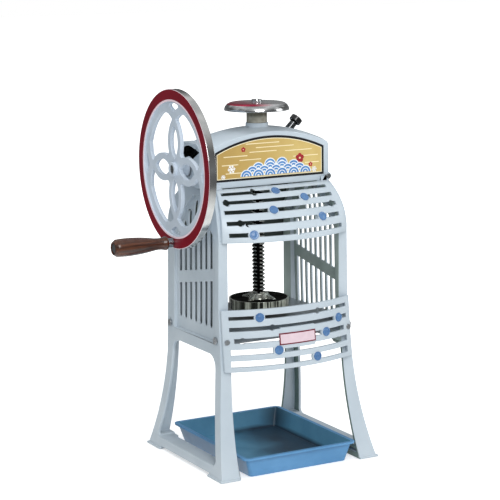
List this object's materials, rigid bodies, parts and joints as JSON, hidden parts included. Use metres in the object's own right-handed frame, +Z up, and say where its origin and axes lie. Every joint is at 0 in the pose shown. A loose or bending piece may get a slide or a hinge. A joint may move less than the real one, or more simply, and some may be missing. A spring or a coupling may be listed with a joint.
{
  "type": "ice shaver with crank",
  "caption": "Hand-cranked block ice shaver: bevel-geared feed spindle in an arched head on splayed cast side frames, slotted grilles, blade table, tray below.",
  "frame": {"origin": "on the floor under the feed spindle's axis, which is the middle of the blade table", "axes": "+Z up along the feed spindle, -Y towards the loading window at the front, -X towards the crank wheel"},
  "size_m": [0.4823, 0.328, 0.73],
  "materials": {
    "frame_enamel": "satin baked enamel, pale blue grey",
    "wheel_enamel": "satin baked enamel with a crimson band and polished rim",
    "gold_plate": "gloss printed plate, gold ground with a black border",
    "bare_iron": "bare casting",
    "gear_iron": "machined and oiled",
    "bearing_bronze": "machined",
    "zinc_bolts": "bright zinc plated",
    "bright_chrome": "polished",
    "table_metal": "cast and machined",
    "machined_steel": "ground",
    "screw_steel": "dark, thread crests bright",
    "black_iron": "gloss black enamel",
    "polished_aluminium": "polished",
    "black_plastic": "gloss",
    "blade_steel": "hardened and ground",
    "dark_wood": "dark lacquer",
    "tray_plastic": "semi gloss moulded plastic"
  },
  "bodies": {
    "frame": {"side_frame_left": "frame_enamel", "side_frame_right": "frame_enamel", "side_guard": "bare_iron", "head_casting": "frame_enamel", "head_front_plate": "gold_plate", "gear_case_cover": "frame_enamel", "bearing_pedestal": "bare_iron", "shaft_bushes": "bearing_bronze", "sleeve_bush": "bearing_bronze", "nut_bush": "bearing_bronze", "head_bolts": "zinc_bolts", "plunger_guide": "bright_chrome", "upper_front_grille": "frame_enamel", "lower_front_grille": "frame_enamel", "rear_upper_cover": "frame_enamel", "grille_screws": "zinc_bolts", "rear_cover_screws": "zinc_bolts", "blade_table": "table_metal", "table_bolts": "zinc_bolts", "blade_guides": "machined_steel", "adjuster_bridge": "bare_iron"},
    "crank": {"flywheel": "wheel_enamel", "crankshaft": "machined_steel", "shaft_keys": "machined_steel", "thrust_washer": "bearing_bronze", "pinion": "gear_iron", "crank_pin": "machined_steel", "crank_pin_nut": "zinc_bolts"},
    "grip": {"hand_grip": "dark_wood"},
    "gear_sleeve": {"drive_sleeve": "machined_steel", "crown_gear": "gear_iron", "sleeve_key": "machined_steel", "sleeve_ring": "machined_steel"},
    "spindle": {"feed_screw": "screw_steel", "ice_plate": "black_iron", "ice_spikes": "machined_steel", "plate_nut": "zinc_bolts", "hand_wheel": "polished_aluminium", "wheel_collar": "bright_chrome", "cap_nut": "bright_chrome"},
    "nut": {"feed_nut": "bearing_bronze"},
    "lock": {"lock_plunger": "bright_chrome", "lock_knob": "black_plastic"},
    "blade_unit": {"blade": "blade_steel", "blade_holder": "bare_iron"},
    "adjuster": {"adjuster_screw": "machined_steel"},
    "tray": {"drip_tray": "tray_plastic"}
  },
  "joints": [
    {"name": "crank_turn", "type": "hinge", "parent": "frame", "child": "crank", "pos_m": [-0.17, 0, 0.578], "axis": [1, 0, 0], "continuous": true},
    {"name": "grip_spin", "type": "hinge", "parent": "crank", "child": "grip", "pos_m": [-0.2, 0.00743, 0.43619], "axis": [1, 0, 0], "continuous": true},
    {"name": "gear_turn", "type": "hinge", "parent": "frame", "child": "gear_sleeve", "pos_m": [0, 0, 0.58], "axis": [0, 0, 1], "continuous": true},
    {"name": "spindle_feed", "type": "slide", "parent": "gear_sleeve", "child": "spindle", "axis": [0, 0, 1], "range_m": [0, 0.19]},
    {"name": "nut_turn", "type": "hinge", "parent": "frame", "child": "nut", "pos_m": [0, 0, 0.614], "axis": [0, 0, 1], "continuous": true},
    {"name": "lock_slide", "type": "slide", "parent": "frame", "child": "lock", "axis": [0.6947, 0, 0.7193], "range_m": [-0.007, 0]},
    {"name": "adjuster_turn", "type": "hinge", "parent": "frame", "child": "adjuster", "pos_m": [0.058, 0.014, 0.23], "axis": [0, 0, 1], "range_deg": [0, 360]},
    {"name": "blade_lift", "type": "slide", "parent": "frame", "child": "blade_unit", "axis": [0, 0, 1], "range_m": [0, 0.00125]},
    {"name": "tray_pull", "type": "slide", "parent": "frame", "child": "tray", "axis": [0, -1, 0], "range_m": [0, 0.3]}
  ],
  "couplings": [
    {"joint": "gear_turn", "follows": "crank_turn", "ratio": 0.5},
    {"joint": "adjuster_turn", "follows": "blade_lift", "rad_per_m": 5026}
  ]
}
